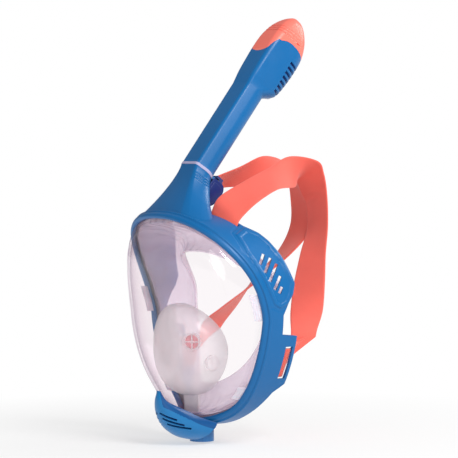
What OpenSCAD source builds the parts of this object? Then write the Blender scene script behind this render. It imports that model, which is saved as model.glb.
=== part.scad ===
// Full-face snorkel mask: a clear wrap-round lens in a moulded frame, a lean-back
// dry-top snorkel latched into the frame's neck, and a two-loop elastic harness.
// Origin: centre of the face seal's rear plane. +Z up, the wearer looks along -Y.

/* [Lens and rim] */
// Half-width of the lens opening at its widest level
rim_half_w = 94; // [92:0.5:96]
// Height of the lens opening above its widest level
rim_rise = 80; // [78:0.5:82]
// Depth of the lens opening below its widest level
rim_drop = 118; // [116:0.5:120]
// Height of the widest level above the seal's centre
rim_level = 18; // [16:0.5:20]
// How far the lens front stands ahead of the seal plane
lens_reach = 101; // [100:0.5:102]
// Lens wall thickness
lens_wall = 2.5; // [2:0.1:3]

/* [Snorkel] */
// Lean of the snorkel back from vertical, in degrees
snorkel_lean = 38; // [36:0.5:40]
// Length of the straight tube above the seam
tube_len = 100; // [98:0.5:102]
// Tube wall thickness
tube_wall = 2; // [1.8:0.1:2.2]
// Depth of the spigot in the neck socket
spigot_len = 16; // [14:0.5:17]
// Gap between spigot and socket
socket_gap = 0.3; // [0.2:0.05:0.4]

/* [Float valve] */
// Float radius
float_r = 10.6; // [10:0.1:11]
// Float length
float_len = 19; // [18:0.5:19.5]
// Float travel from open to shut
float_travel = 12; // [10:0.5:12]

/* [Harness] */
// Webbing thickness
strap_t = 1.8; // [1.4:0.1:2]

/* [Silicone] */
// Face skirt thickness
skirt_t = 1.8; // [1.5:0.1:2]
// Nose cup thickness
cup_t = 2; // [1.6:0.1:2.2]

/* [Hidden] */
$fn = 48;

// Angles round the rim from the top, clockwise as the wearer's left comes first
stations = [for (a = [0:6:102]) a, 106, for (a = [110:6:250]) a, 254, for (a = [258:6:354]) a];
// Rear edge of the frame: level of the rim against how far back the edge runs
rear_edge = [[-101, -31], [-95, -24], [-83, -17], [-68, -10], [-60, 0], [-14, 0], [-12.5, -18],
    [6, -19], [18, -13], [25, -8], [35, -5], [45, -9], [60, -15], [72, -22], [79, -28], [85, -39],
    [92, -45], [98, -52]];
frame_out = 7.5;
frame_in = 4.5;
// Centre of the seam between neck and snorkel
seam = [0, -48.8, 145.5];
gasket_h = 3;
chamber_n = 12;
chamber_r = 12;
chamber_floor = 108;
float_rest = chamber_floor + 2.2;
seal_t = 1.5;
seat_s = float_rest + float_len + seal_t + float_travel + 0.3;
latch_s = -17;
latch_n = 22.6;
latch_pin_r = 1.5;
pin_gap = 0.05;
purge_y = -45;
purge_z = -108.4;

// ---------- curves ----------
function pw(v, e) = sign(v) * pow(abs(v), e);
function from_top(a) = let(b = (a + 360) % 360) b > 180 ? 360 - b : b;
function rim_x(a) = rim_half_w * pw(sin(a), cos(a) > 0 ? 0.87 : 0.91);
function rim_z(a) = rim_level + (cos(a) > 0 ? rim_rise * pw(cos(a), 0.87) : rim_drop * pw(cos(a), 1.08));
function rim_y(a) = -37 - (lens_reach - 40) * pow(max(0, cos(0.9 * from_top(a))), 1.4)
    - 25 * pow(max(0, -cos(a)), 20);
function rim_out(a) = let(t = [rim_x(a + 1) - rim_x(a - 1), rim_z(a + 1) - rim_z(a - 1)])
    [-t[1], t[0]] / norm(t);
// A point at station a, offset outward from the rim by out, at depth y
function rim_point(a, out, y) = let(d = rim_out(a)) [rim_x(a) + out * d[0], y, rim_z(a) + out * d[1]];
// A closed [y, out] outline placed at station a
function rim_ring(a, outline) = [for (p = outline) rim_point(a, p[1], p[0])];
function back_y(a) = lookup(rim_z(a), rear_edge);
// Crest of the face seal
function seal_y(a) = -1 - 42 * pow(max(0, cos(a)), 1.5) - 30 * pow(max(0, -cos(a)), 3);
function mean(pts) = [for (k = [0:2]) sum([for (p = pts) p[k]]) / len(pts)];
function sum(v, i = 0) = i >= len(v) ? 0 : v[i] + sum(v, i + 1);
function unit(v) = v / norm(v);
// An outline of thickness t along an open path in the plane
function thick_path(pts, t) = let(n = len(pts) - 1, off = [for (i = [0:n])
        let(d = unit(pts[min(i + 1, n)] - pts[max(i - 1, 0)])) [d[1], -d[0]] * t / 2])
    concat([for (i = [0:n]) pts[i] + off[i]], [for (i = [n:-1:0]) pts[i] - off[i]]);
// A rounded oval outline
function oval(a, b, e = 0.8, steps = 32) = [for (i = [0:steps - 1]) let(t = 360 * i / steps)
    [a * pw(cos(t), e), b * pw(sin(t), e)]];
// Dome over a rim: side point and front blended by a superellipse
function dome_point(side, front, k, e) = let(t = 90 * (1 - k), s = pow(sin(t), e), c = pow(cos(t), e))
    [front[0] + (side[0] - front[0]) * s, side[1] * (1 - c) + front[1] * c,
     front[2] + (side[2] - front[2]) * s];
function spline(p, i, t) = let(n = len(p) - 1, a = p[max(i - 1, 0)], b = p[i],
        c = p[min(i + 1, n)], d = p[min(i + 2, n)])
    0.5 * (2 * b + (c - a) * t + (2 * a - 5 * b + 4 * c - d) * t * t + (3 * b - a - 3 * c + d) * t * t * t);
function spline_path(p, steps) = concat([for (i = [0:len(p) - 2], k = [0:steps - 1])
    spline(p, i, k / steps)], [p[len(p) - 1]]);

// A solid skinned over rings of equal count; each ring runs counter-clockwise seen from ahead
module skin(rings, looped = false) {
    n = len(rings);
    m = len(rings[0]);
    last = looped ? n - 1 : n - 2;
    sides = [for (i = [0:last], j = [0:m - 1]) let(a = i * m + j, b = i * m + (j + 1) % m,
        c = (i + 1) % n * m + (j + 1) % m, d = (i + 1) % n * m + j) each [[a, c, b], [a, d, c]]];
    ends = looped ? [] : [for (j = [0:m - 1]) each [[n * m, j, (j + 1) % m],
        [n * m + 1, (n - 1) * m + (j + 1) % m, (n - 1) * m + j]]];
    points = [for (r = rings) each r];
    polyhedron(looped ? points : concat(points, [mean(rings[0]), mean(rings[n - 1])]),
        concat(sides, ends));
}

module on_snorkel() {
    translate(seam) rotate([-snorkel_lean, 0, 0]) children();
}

// ---------- frame ----------
function frame_outline(a) = let(f = rim_y(a), b = back_y(a)) [[f - 1, 0], [f + 0.2, 0], [f + 0.2, 3],
    [f + 5, 3], [f + 6, frame_in], [b, frame_in], [b, frame_out], [f + 5, frame_out - 0.5],
    [f + 3, 8.2], [f - 1.5, 7], [f - 3.2, 4], [f - 3, 1.5]];

module rim_band() {
    skin([for (a = stations) rim_ring(a, frame_outline(a))], looped = true);
}

// Tube section, inset by g
module tube_section(g = 0) {
    for (x = [-3.5, 3.5]) translate([x, 0]) circle(13.5 - g);
    for (x = [-10.5, 10.5]) translate([x, -9.5]) circle(4 - g);
    translate([-3.5, g - 13.5]) square([7, 27 - 2 * g]);
    polygon([[10.5, g - 13.5], [14.4 - g, -9.5], [16.9 - g, -1], [g - 16.9, -1], [g - 14.4, -9.5],
        [-10.5, g - 13.5]]);
}

function roof_z(x) = rim_level + rim_rise * pow(1 - pow(abs(x) / rim_half_w, 2.3), 1 / 2.3) + 6;
function neck_ring(t) = [for (i = [0:35]) let(w = 10 * i, c = pw(cos(w), 0.85), s = pw(sin(w), 0.85),
        base = [50 * c, -77 + 19 * s, roof_z(50 * c)],
        top_n = 13.5 * s, top_x = 17 * c * (s < 0 ? 1 - 0.14 * s * s : 1),
        top = seam + [top_x, top_n * cos(snorkel_lean) - gasket_h * sin(snorkel_lean),
            -top_n * sin(snorkel_lean) - gasket_h * cos(snorkel_lean)],
        f = pow(1 - t, 1.6), g = 1 - t)
    [top[0] + (base[0] - top[0]) * f, top[1] + (base[1] - top[1]) * g, base[2] + (top[2] - base[2]) * t]];

module neck_body() {
    skin([for (t = [0:0.125:1]) neck_ring(t)]);
    on_snorkel() translate([-11.8, 6, -23]) cube([23.6, 12, 19.6]);
}

// Five slanted vents in the left wing: [depth, level, length]
vents = [[-41, 60, 11], [-34.5, 54, 16], [-28.5, 47, 19], [-24, 37, 15], [-20.5, 30, 7]];
module vent_cuts() {
    for (side = [-1, 1], v = vents)
        translate([side * 95, v[0], v[1]]) rotate([-30, 0, 0]) cube([34, 3, v[2]], center = true);
}

module strap_slot_cuts() {
    for (side = [0, 1]) mirror([side, 0, 0]) {
        translate([44.5, -51.2, 97]) rotate([0, 27, 0]) rotate([0, 0, 18])
            cube([38, 5, 20], center = true);
        translate([60, -12, -58]) cube([40, 8.5, 32]);
    }
}

module frame() {
    color([0.05, 0.33, 0.65]) difference() {
        union() {
            rim_band();
            neck_body();
            for (x = [-19, 13]) translate([x, -64, -113]) cube([6, 7, 6.5]);
        }
        on_snorkel() translate([0, 0, -spigot_len - gasket_h - 2]) linear_extrude(40) tube_section(2.8);
        translate([0, -66, 95]) rotate([-8, 0, 0]) cylinder(r = 9, h = 38);
        vent_cuts();
        strap_slot_cuts();
        translate([0, purge_y, -112]) cylinder(r = 7, h = 14);
    }
}

// ---------- lens ----------
lens_front = [0, -lens_reach, rim_level - 8];
lens_steps = [0, 0.08, 0.17, 0.28, 0.4, 0.54, 0.7, 0.86];
function lens_path(a) = let(f = rim_y(a), front_in = lens_front + [0, lens_wall, 0],
        outer = rim_point(a, -0.6, f), inner = rim_point(a, -0.6 - lens_wall, f + 0.8))
    concat([for (i = [len(lens_steps) - 1:-1:0]) dome_point(outer, lens_front, lens_steps[i], 0.87)],
        [rim_point(a, -0.6, f + 0.4), rim_point(a, 2.6, f + 0.4), rim_point(a, 2.6, f + 2.4),
         rim_point(a, -0.6 - lens_wall, f + 2.4)],
        [for (k = lens_steps) dome_point(inner, front_in, k, 0.87)]);

module lens() {
    paths = [for (a = stations) lens_path(a)];
    color([0.95, 0.9, 0.95, 0.35])
        skin([for (j = [0:len(paths[0]) - 1]) [for (p = paths) p[j]]]);
}

module retainer_ring() {
    color([0.1, 0.2, 0.45]) skin([for (a = stations) let(f = rim_y(a))
        rim_ring(a, [[f + 4.9, -2.4], [f + 7.4, -2.4], [f + 7.4, 2.8], [f + 4.9, 2.8]])], looped = true);
}

// ---------- silicone ----------
function skirt_path(f, s) = [[f + 3.7, 2.4], [f + 3.7, -4], [f + 8.5, -4.8],
    [(f + 8.5 + s) / 2, -8], [s - 5, -13], [s - 1.2, -20], [s - 3, -27], [s - 9, -33]];
module face_skirt() {
    color([0.85, 0.75, 0.85, 0.6]) difference() {
        skin([for (a = stations) rim_ring(a, thick_path(skirt_path(rim_y(a), seal_y(a)), skirt_t))],
            looped = true);
        translate([0, -66, 80]) cylinder(r = 10, h = 20);
    }
}

cup_front = [0, -91, -32];
cup_steps = [0, 0.1, 0.22, 0.36, 0.52, 0.7, 0.87];
function cup_side(a, inset) = [(43 - inset) * sin(a), -44 - 24 * pow(max(0, cos(a)), 2)
    - 10 * pow(max(0, -cos(a)), 2), cup_front[2] + (46 - inset) * cos(a)];
function cup_path(a) = concat(
    [for (i = [len(cup_steps) - 1:-1:0]) dome_point(cup_side(a, 0), cup_front, cup_steps[i], 0.77)],
    [for (k = cup_steps) dome_point(cup_side(a, cup_t), cup_front + [0, cup_t, 0], k, 0.77)]);

// Valve places on the cup's left side: [centre, heading, seat radius]
inhale_at = [[31, -79, -22], -49, 9];
exhale_at = [[41.5, -62, -43], -14, 7.4];
module at_valve(v, side) {
    mirror([side, 0, 0]) translate(v[0]) rotate([0, 0, v[1]]) rotate([0, 90, 0]) children();
}

module nose_cup() {
    paths = [for (i = [0:47]) cup_path(7.5 * i)];
    color([0.95, 0.88, 0.92, 0.7]) difference() {
        union() {
            skin([for (j = [0:len(paths[0]) - 1]) [for (p = paths) p[j]]]);
            translate([-12, -58, -93.8]) cube([24, 2.4, 17]);
        }
        for (side = [0, 1]) {
            at_valve(inhale_at, side) translate([0, 0, -9]) cylinder(r = inhale_at[2] + 0.2, h = 20);
            at_valve(exhale_at, side) translate([0, 0, -9]) cylinder(r = exhale_at[2] + 0.2, h = 20);
        }
    }
}

module valve_seat(v, side) {
    color([0.95, 0.85, 0.9]) at_valve(v, side) translate([0, 0, -1.5]) {
        difference() {
            cylinder(r = v[2], h = 3);
            translate([0, 0, -1]) cylinder(r = v[2] - 2.2, h = 5);
        }
        for (w = [0, 90]) rotate([0, 0, w]) translate([0.6 - v[2], -0.6, 0.6])
            cube([2 * v[2] - 1.2, 1.2, 1.6]);
        translate([0, 0, 0.2]) cylinder(r = 1.8, h = 2.2);
    }
}

// A thin silicone disc, inside the seat when opening is -1, outside when it is 1
module valve_flap(v, side, opening) {
    color([1, 0.75, 0.78]) at_valve(v, side) translate([0, 0, opening > 0 ? 1.8 : -2.7])
        cylinder(r = v[2] - 1, h = 0.9);
}

// ---------- chin ----------
// Chin cover, row by row: [middle depth, middle level, edge half-width, edge depth, edge level]
chin_rows = [[-97.5, -71.5, 2.5, -96.5, -71.5], [-99.5, -79, 8, -93, -80.5],
    [-98.5, -90, 15, -84, -86.5], [-93.5, -102, 21, -75, -91.5], [-84.5, -111.5, 27, -66.5, -96.5],
    [-72.5, -118.5, 31.5, -58, -100], [-59.5, -121.8, 34.5, -50.8, -102.8]];
chin_wall = 2.4;
function chin_inward(i) = let(n = len(chin_rows) - 1, q = chin_rows[min(i + 1, n)],
        o = chin_rows[max(i - 1, 0)], d = unit([q[0] - o[0], q[1] - o[1]])) [-d[1], d[0]];
function chin_point(i, v, t) = let(p = chin_rows[i], f = 1 - cos(v), w = chin_inward(i) * t * cos(v))
    [(p[2] - t * 0.8) * sin(v), p[0] + (p[3] - p[0]) * f + w[0], p[1] + (p[4] - p[1]) * f + w[1]];
function chin_ring(i) = concat([for (v = [-90:15:90]) chin_point(i, v, 0)],
    [for (v = [90:-15:-90]) chin_point(i, v, chin_wall)]);

module chin_cover() {
    color([0.35, 0.65, 0.88]) difference() {
        skin([for (i = [len(chin_rows) - 1:-1:0]) chin_ring(i)]);
        for (side = [-1, 1], k = [0:2])
            translate([side * 22, -84 + 8 * k, -100 - 6 * k]) rotate([25, 0, side * 25])
                cube([12, 18, 2], center = true);
    }
}

module purge_seat() {
    color([0.1, 0.2, 0.45]) translate([0, purge_y, purge_z - 6]) difference() {
        cylinder(r = 12, h = 6);
        translate([0, 0, -1]) cylinder(r = 7, h = 8);
    }
    color([0.1, 0.2, 0.45]) translate([0, purge_y, purge_z - 6]) {
        for (w = [0, 90]) rotate([0, 0, w]) translate([-7.4, -0.7, 0]) cube([14.8, 1.4, 2]);
    }
}

module purge_flap() {
    color([0.75, 0.75, 0.85]) translate([0, purge_y, purge_z - 7.3]) cylinder(r = 9, h = 1);
}

module drain_cap() {
    color([0.05, 0.33, 0.65]) translate([0, purge_y, -124]) difference() {
        cylinder(r = 12, h = 9.4);
        translate([0, 0, 2]) cylinder(r = 10, h = 9);
        for (y = [-6, -2, 2, 6]) translate([-7, y - 0.8, -1]) cube([14, 1.6, 5]);
    }
}

// ---------- latch ----------
module latch_bracket() {
    color([0.06, 0.12, 0.32]) on_snorkel() difference() {
        union() {
            translate([-11.6, 18.1, -22.6]) cube([23.2, 1.6, 19]);
            for (x = [-11.6, 9.4]) translate([x, 18.1, latch_s - 5]) {
                cube([2.2, 4.5, 10]);
                translate([0, latch_n - 18.1, 5]) rotate([0, 90, 0]) cylinder(r = 4.4, h = 2.2);
            }
        }
        translate([-12, latch_n, latch_s]) rotate([0, 90, 0]) cylinder(r = latch_pin_r + pin_gap, h = 24);
    }
}

module latch_lever() {
    color([0.08, 0.16, 0.4]) on_snorkel() difference() {
        union() {
            for (x = [-9, 4]) translate([x, latch_n, latch_s]) rotate([0, 90, 0])
                cylinder(r = 2.8, h = 5);
            translate([-9, latch_n - 1.2, latch_s + 1]) cube([5, 4, 6]);
            translate([4, latch_n - 1.2, latch_s + 1]) cube([5, 4, 6]);
            translate([-9, latch_n - 1.2, latch_s + 5]) cube([18, 4, 18]);
            translate([-9, 17.5, latch_s + 20.5]) cube([18, 6, 2.5]);
            for (z = [5.8, 12, 18.6]) translate([-9, latch_n + 2.6, latch_s + z]) cube([18, 1.2, 1.4]);
        }
        for (x = [-7, 1]) translate([x, latch_n - 3, latch_s + 8.4]) cube([6, 9, 8]);
        translate([-12, latch_n, latch_s]) rotate([0, 90, 0]) cylinder(r = latch_pin_r + pin_gap, h = 24);
    }
}

module latch_pin() {
    color("silver") on_snorkel() translate([-11.6, latch_n, latch_s]) rotate([0, 90, 0])
        cylinder(r = latch_pin_r, h = 23.2);
}

module latch_spring() {
    color("gainsboro") on_snorkel() translate([0, latch_n, latch_s]) rotate([0, 90, 0])
        for (x = [-2.6, -1.3, 0, 1.3, 2.6]) translate([0, 0, x]) rotate_extrude()
            translate([2.1, 0]) circle(r = 0.45, $fn = 16);
}

// ---------- snorkel ----------
module neck_gasket() {
    color([0.62, 0.6, 0.74]) on_snorkel() translate([0, 0, 0.1 - gasket_h])
        linear_extrude(gasket_h - 0.2) difference() {
            tube_section(-0.3);
            tube_section(2.8);
        }
}

// Head outline: [along, half-width, front, rear]
head_line = [[tube_len, 17, -13.5, 14], [104, 17.6, -14.2, 20.5], [112, 18.4, -15, 25.5],
    [128, 19.4, -15.8, 27.8], [146, 20, -16.3, 28.5], [160, 19.8, -16, 27.5], [172, 18.4, -14.6, 24],
    [182, 14.8, -11, 18], [189, 9.2, -6, 11.5], [193, 3, -1, 5]];
module head_solid(g = 0) {
    hull() for (h = head_line) let(b = (h[3] - h[2]) / 2)
        translate([0, (h[2] + h[3]) / 2, h[0] - (h[0] > 150 ? g : 0)])
            linear_extrude(0.1) polygon(oval(max(h[1] - g, 1), max(b - g, 1)));
}
// Side-view region above the cap's lower edge
module cap_region(grow = 0) {
    rotate([90, 0, 90]) translate([0, 0, -40]) linear_extrude(80)
        polygon(concat([[-40, 250], [-40, 143 - grow]], [for (t = [0:0.1:1])
            [-16.5 + 45.5 * t, 143 + 12 * t + 18 * sin(180 * pow(t, 0.9)) - grow]],
            [[50, 155 - grow], [50, 250]]));
}

module snorkel_tube() {
    color([0.05, 0.33, 0.65]) on_snorkel() difference() {
        union() {
            linear_extrude(tube_len + 2) tube_section();
            head_solid();
            translate([0, 0, -spigot_len]) linear_extrude(spigot_len + 1)
                tube_section(2.8 + socket_gap);
            translate([-7, 12, 0.4]) cube([14, 5, 2.6]);
        }
        cap_region(0.2);
        translate([0, 0, -spigot_len - 1]) linear_extrude(spigot_len + 4) square([20, 15], center = true);
        translate([0, 0, 2]) linear_extrude(tube_len) tube_section(tube_wall);
        translate([-11, -12, tube_len]) cube([22, 8.5, 70]);
        translate([0, chamber_n, chamber_floor]) cylinder(r = chamber_r, h = seat_s + 2 - chamber_floor);
        intersection() {
            head_solid(2.6);
            translate([-40, -40, seat_s + 2]) cube([80, 90, 60]);
        }
        translate([-9, 18, chamber_floor + 2]) cube([18, 20, 30]);
    }
}

module tube_divider() {
    color([0.1, 0.25, 0.5]) on_snorkel() translate([-13.4, 4, 2.5]) cube([26.8, 1.4, tube_len - 3]);
}

module vent_grille() {
    color([0.03, 0.1, 0.25]) on_snorkel() difference() {
        translate([-8.8, 24.2, chamber_floor + 2.2]) cube([17.6, 2.2, 29.6]);
        for (k = [0:6]) translate([-7, 20, chamber_floor + 4 + 4 * k]) cube([14, 10, 2.2]);
    }
}

module float_guide() {
    color([0.85, 0.87, 0.9]) on_snorkel() translate([0, chamber_n, chamber_floor + 0.1]) {
        difference() {
            cylinder(r = chamber_r - 0.1, h = 1.4);
            for (w = [45:90:315]) rotate([0, 0, w]) translate([6.6, 0, -1]) cylinder(r = 2.6, h = 4);
        }
        cylinder(r = 2, h = seat_s - chamber_floor - 1);
    }
}

module float_body() {
    color([0.95, 0.95, 0.9]) on_snorkel() translate([0, chamber_n, float_rest]) difference() {
        cylinder(r = float_r, h = float_len);
        translate([0, 0, -1]) cylinder(r = 2.08, h = float_len + 2);
    }
}

module float_seal() {
    color([0.3, 0.3, 0.33]) on_snorkel() translate([0, chamber_n, float_rest + float_len]) difference() {
        cylinder(r = 9, h = seal_t);
        translate([0, 0, -1]) cylinder(r = 2.08, h = seal_t + 2);
    }
}

module float_seat() {
    color([0.85, 0.87, 0.9]) on_snorkel() translate([0, chamber_n, seat_s]) difference() {
        union() {
            cylinder(r = 7.6, h = 2);
            translate([0, 0, 0.8]) cylinder(r = chamber_r - 0.1, h = 1.2);
        }
        translate([0, 0, -1]) cylinder(r = 6, h = 4);
    }
}

module top_cap() {
    color([1, 0.45, 0.4]) on_snorkel() difference() {
        intersection() {
            head_solid();
            cap_region();
        }
        head_solid(2.6);
    }
}

// ---------- harness ----------
// Webbing edges down one loop: [upper edge, lower edge, 1 where the loops lie on each other]
loop_rows = [
    [[29.8, -55.6, 99.5], [59.6, -46.6, 85.6], 0], [[30, -54, 106.5], [59.8, -45, 91.8], 0],
    [[32.5, -46, 120], [57.5, -37, 100], 0], [[30, -12.3, 135.5], [56, -17, 114], 0],
    [[25, 18.7, 147], [49, 13, 126], 0], [[23, 47, 158.5], [25, 52, 127.5], 0],
    [[30, 78, 154], [3, 71, 134], 1], [[31, 86, 141], [-3, 83, 121], 1],
    [[30.5, 90.5, 118], [-4.5, 90.5, 108], 1], [[31, 91, 88], [-3.5, 91, 84], 1],
    [[40, 80, 60], [7, 73, 60], 0], [[59, 64, 32], [31, 46, 30], 0],
    [[71, 52, 6], [57, 22, 4], 0], [[77.5, 40, -12], [75, 9, -14], 0],
    [[80, 36, -19], [79, 6, -37], 0]];
tail_rows = [[[77.6, 37, -16], [76.8, 5, -38], 0], [[82, 16, -22], [75.5, -2, -49], 0],
    [[87.2, -8, -30], [75.2, -8.5, -56], 0]];
function row_edge(rows, e, side) = [for (r = rows)
    [side * r[e][0] - (side < 0 ? 4 * r[2] : 0), r[e][1] - side * 1.3 * r[2], r[e][2]]];
function webbing_rings(rows, side) = let(up = spline_path(row_edge(rows, 0, side), 4),
        low = spline_path(row_edge(rows, 1, side), 4), n = len(up) - 1)
    [for (i = [0:n]) let(t = (up[min(i + 1, n)] + low[min(i + 1, n)] - up[max(i - 1, 0)]
            - low[max(i - 1, 0)]), k = unit(cross(t, up[i] - low[i])) * strap_t / 2)
        [up[i] + k, up[i] - k, low[i] - k, low[i] + k]];
module webbing(rows, side) {
    rings = webbing_rings(rows, side);
    skin([for (r = rings) [r[3], r[2], r[1], r[0]]]);
}

module strap(side) {
    color([1, 0.45, 0.4]) {
        webbing(loop_rows, side);
        webbing(tail_rows, side);
    }
}

module strap_patch() {
    color([0.9, 0.35, 0.33]) translate([-9, 95, 92]) cube([15, 0.8, 12]);
}

frame();
lens();
retainer_ring();
face_skirt();
nose_cup();
valve_seat(inhale_at, 0);  // inhale_seat_left
valve_seat(inhale_at, 1);  // inhale_seat_right
valve_flap(inhale_at, 0, -1);  // inhale_flap_left
valve_flap(inhale_at, 1, -1);  // inhale_flap_right
valve_seat(exhale_at, 0);  // exhale_seat_left
valve_seat(exhale_at, 1);  // exhale_seat_right
valve_flap(exhale_at, 0, 1);  // exhale_flap_left
valve_flap(exhale_at, 1, 1);  // exhale_flap_right
chin_cover();
purge_seat();
purge_flap();
drain_cap();
latch_bracket();
latch_lever();
latch_pin();
latch_spring();
neck_gasket();
snorkel_tube();
tube_divider();
vent_grille();
float_guide();
float_body();
float_seal();
float_seat();
top_cap();
strap(1);  // strap_left
strap(-1);  // strap_right
strap_patch();
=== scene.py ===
"""Full-face snorkel mask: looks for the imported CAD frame. Lengths are millimetres until a mesh is made."""
import math

import bpy
import numpy as np
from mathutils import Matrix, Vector


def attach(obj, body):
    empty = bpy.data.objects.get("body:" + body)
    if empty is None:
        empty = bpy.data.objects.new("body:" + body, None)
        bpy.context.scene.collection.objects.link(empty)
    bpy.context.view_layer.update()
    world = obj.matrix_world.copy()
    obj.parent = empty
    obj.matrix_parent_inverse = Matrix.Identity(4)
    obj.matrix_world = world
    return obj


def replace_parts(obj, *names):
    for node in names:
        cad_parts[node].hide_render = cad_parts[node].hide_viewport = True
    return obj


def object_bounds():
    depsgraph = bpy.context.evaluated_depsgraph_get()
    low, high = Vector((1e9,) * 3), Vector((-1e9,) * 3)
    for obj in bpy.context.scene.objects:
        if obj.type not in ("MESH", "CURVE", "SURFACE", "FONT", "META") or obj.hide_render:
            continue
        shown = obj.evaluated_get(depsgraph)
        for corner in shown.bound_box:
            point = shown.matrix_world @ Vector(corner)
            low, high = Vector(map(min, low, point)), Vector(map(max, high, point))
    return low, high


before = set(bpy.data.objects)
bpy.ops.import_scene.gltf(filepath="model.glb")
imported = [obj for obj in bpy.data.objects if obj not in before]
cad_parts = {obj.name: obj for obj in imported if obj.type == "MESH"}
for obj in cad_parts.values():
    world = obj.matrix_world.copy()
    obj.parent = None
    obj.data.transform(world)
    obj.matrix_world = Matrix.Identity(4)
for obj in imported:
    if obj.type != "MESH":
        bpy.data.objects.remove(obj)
cad_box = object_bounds()
MM = 0.001

# ---------- driving dimensions, as in the CAD ----------
HALF_W, RISE, DROP, LEVEL, REACH = 94.0, 80.0, 118.0, 18.0, 101.0
REAR_EDGE = [(-101, -31), (-95, -24), (-83, -17), (-68, -10), (-60, 0), (-14, 0), (-12.5, -18), (6, -19),
             (18, -13), (25, -8), (35, -5), (45, -9), (60, -15), (72, -22), (79, -28), (85, -39),
             (92, -45), (98, -52)]
WALL_OUT, WALL_IN = 7.5, 4.5
SEAM = np.array([0, -48.8, 145.5])
LEAN = math.radians(38)
ALONG = np.array([0, math.sin(LEAN), math.cos(LEAN)])
BACK = np.array([0, math.cos(LEAN), -math.sin(LEAN)])


# ---------- curves ----------
def pw(v, e):
    return np.sign(v) * np.abs(v) ** e


def cosd(a):
    return np.cos(np.radians(a))


def sind(a):
    return np.sin(np.radians(a))


def rim_x(a):
    return HALF_W * pw(sind(a), np.where(cosd(a) > 0, 0.87, 0.91))


def rim_z(a):
    up = RISE * pw(np.maximum(cosd(a), 0), 0.87)
    down = DROP * pw(np.minimum(cosd(a), 0), 1.08)
    return LEVEL + up + down


def rim_y(a):
    side = np.minimum(np.mod(a, 360), 360 - np.mod(a, 360))
    lift = (REACH - 40) * np.maximum(0, cosd(0.9 * side)) ** 1.4
    return -37 - lift - 25 * np.maximum(0, -cosd(a)) ** 20


def rim_out(a):
    """Unit outward direction across the rim, in X and Z."""
    x, z = rim_x(a + 1) - rim_x(a - 1), rim_z(a + 1) - rim_z(a - 1)
    size = np.hypot(x, z)
    return -z / size, x / size


def rim_point(a, out, y):
    nx, nz = rim_out(a)
    a, y = np.broadcast_arrays(np.asarray(a, float), np.asarray(y, float))
    return np.stack([rim_x(a) + out * nx, y, rim_z(a) + out * nz], -1)


def back_y(a):
    return np.interp(rim_z(a), *zip(*REAR_EDGE))


def seal_y(a):
    return -1 - 42 * np.maximum(0, cosd(a)) ** 1.5 - 30 * np.maximum(0, -cosd(a)) ** 3


def smooth(lo, hi, v):
    t = np.clip((v - lo) / (hi - lo), 0, 1)
    return t * t * (3 - 2 * t)


def spline_path(points, steps):
    """Catmull-Rom through the points, as in the CAD."""
    p = [np.array(q, float) for q in points]
    n, out = len(p) - 1, []
    for i in range(n):
        a, b, c, d = p[max(i - 1, 0)], p[i], p[i + 1], p[min(i + 2, n)]
        for t in np.arange(steps) / steps:
            out.append(0.5 * (2 * b + (c - a) * t + (2 * a - 5 * b + 4 * c - d) * t**2
                              + (3 * b - a - 3 * c + d) * t**3))
    return np.array(out + [p[n]])


def rounded(corners, steps=4):
    """A closed outline with each corner (x, y, cut) rounded off over the length cut."""
    p = np.array([c[:2] for c in corners], float)
    out = []
    for i, c in enumerate(corners):
        before, here, after = p[i - 1], p[i], p[(i + 1) % len(p)]
        if not c[2]:
            out.append(here)
            continue
        u, v = before - here, after - here
        cut = min(c[2], 0.45 * np.hypot(*u), 0.45 * np.hypot(*v))
        a, b = here + u / np.hypot(*u) * cut, here + v / np.hypot(*v) * cut
        out += [(1 - t) ** 2 * a + 2 * t * (1 - t) * here + t * t * b for t in np.linspace(0, 1, steps)]
    return out


def band_outline(path, thick):
    """A closed outline of that thickness along an open path in the plane."""
    p = np.array(path, float)
    d = np.gradient(p, axis=0)
    d /= np.hypot(d[:, 0], d[:, 1])[:, None]
    off = np.stack([d[:, 1], -d[:, 0]], 1) * thick / 2
    return np.concatenate([p + off, (p - off)[::-1]])


# ---------- meshes ----------
X_AXIS = (1, 0, 0)
SNORKEL_AXES = (X_AXIS, BACK, ALONG)


def shade(mesh, angle):
    mesh.polygons.foreach_set("use_smooth", [True] * len(mesh.polygons))
    mesh.set_sharp_from_angle(angle=math.radians(angle))


def make(name, verts, faces, material, angle=38):
    mesh = bpy.data.meshes.new(name)
    mesh.from_pydata((np.asarray(verts, float) * MM).tolist(), [], faces)
    mesh.validate()
    piece = bpy.data.objects.new(name, mesh)
    bpy.context.scene.collection.objects.link(piece)
    mesh.materials.append(material)
    select_only(piece)
    bpy.ops.object.mode_set(mode="EDIT")
    bpy.ops.mesh.select_all(action="SELECT")
    bpy.ops.mesh.normals_make_consistent(inside=False)
    bpy.ops.object.mode_set(mode="OBJECT")
    shade(mesh, angle)
    return piece


def select_only(piece):
    bpy.ops.object.select_all(action="DESELECT")
    piece.select_set(True)
    bpy.context.view_layer.objects.active = piece


def skin_faces(n, m, looped=False, caps=True):
    faces = []
    for i in range(n if looped else n - 1):
        k = (i + 1) % n
        faces += [(i * m + j, i * m + (j + 1) % m, k * m + (j + 1) % m, k * m + j) for j in range(m)]
    if not looped and caps:
        faces += [tuple(range(m))[::-1], tuple(range((n - 1) * m, n * m))]
    return faces


def skin(name, rings, material, looped=False, caps=True, angle=38):
    rings = np.asarray(rings, float)
    n, m = rings.shape[:2]
    return make(name, rings.reshape(-1, 3), skin_faces(n, m, looped, caps), material, angle)


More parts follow.
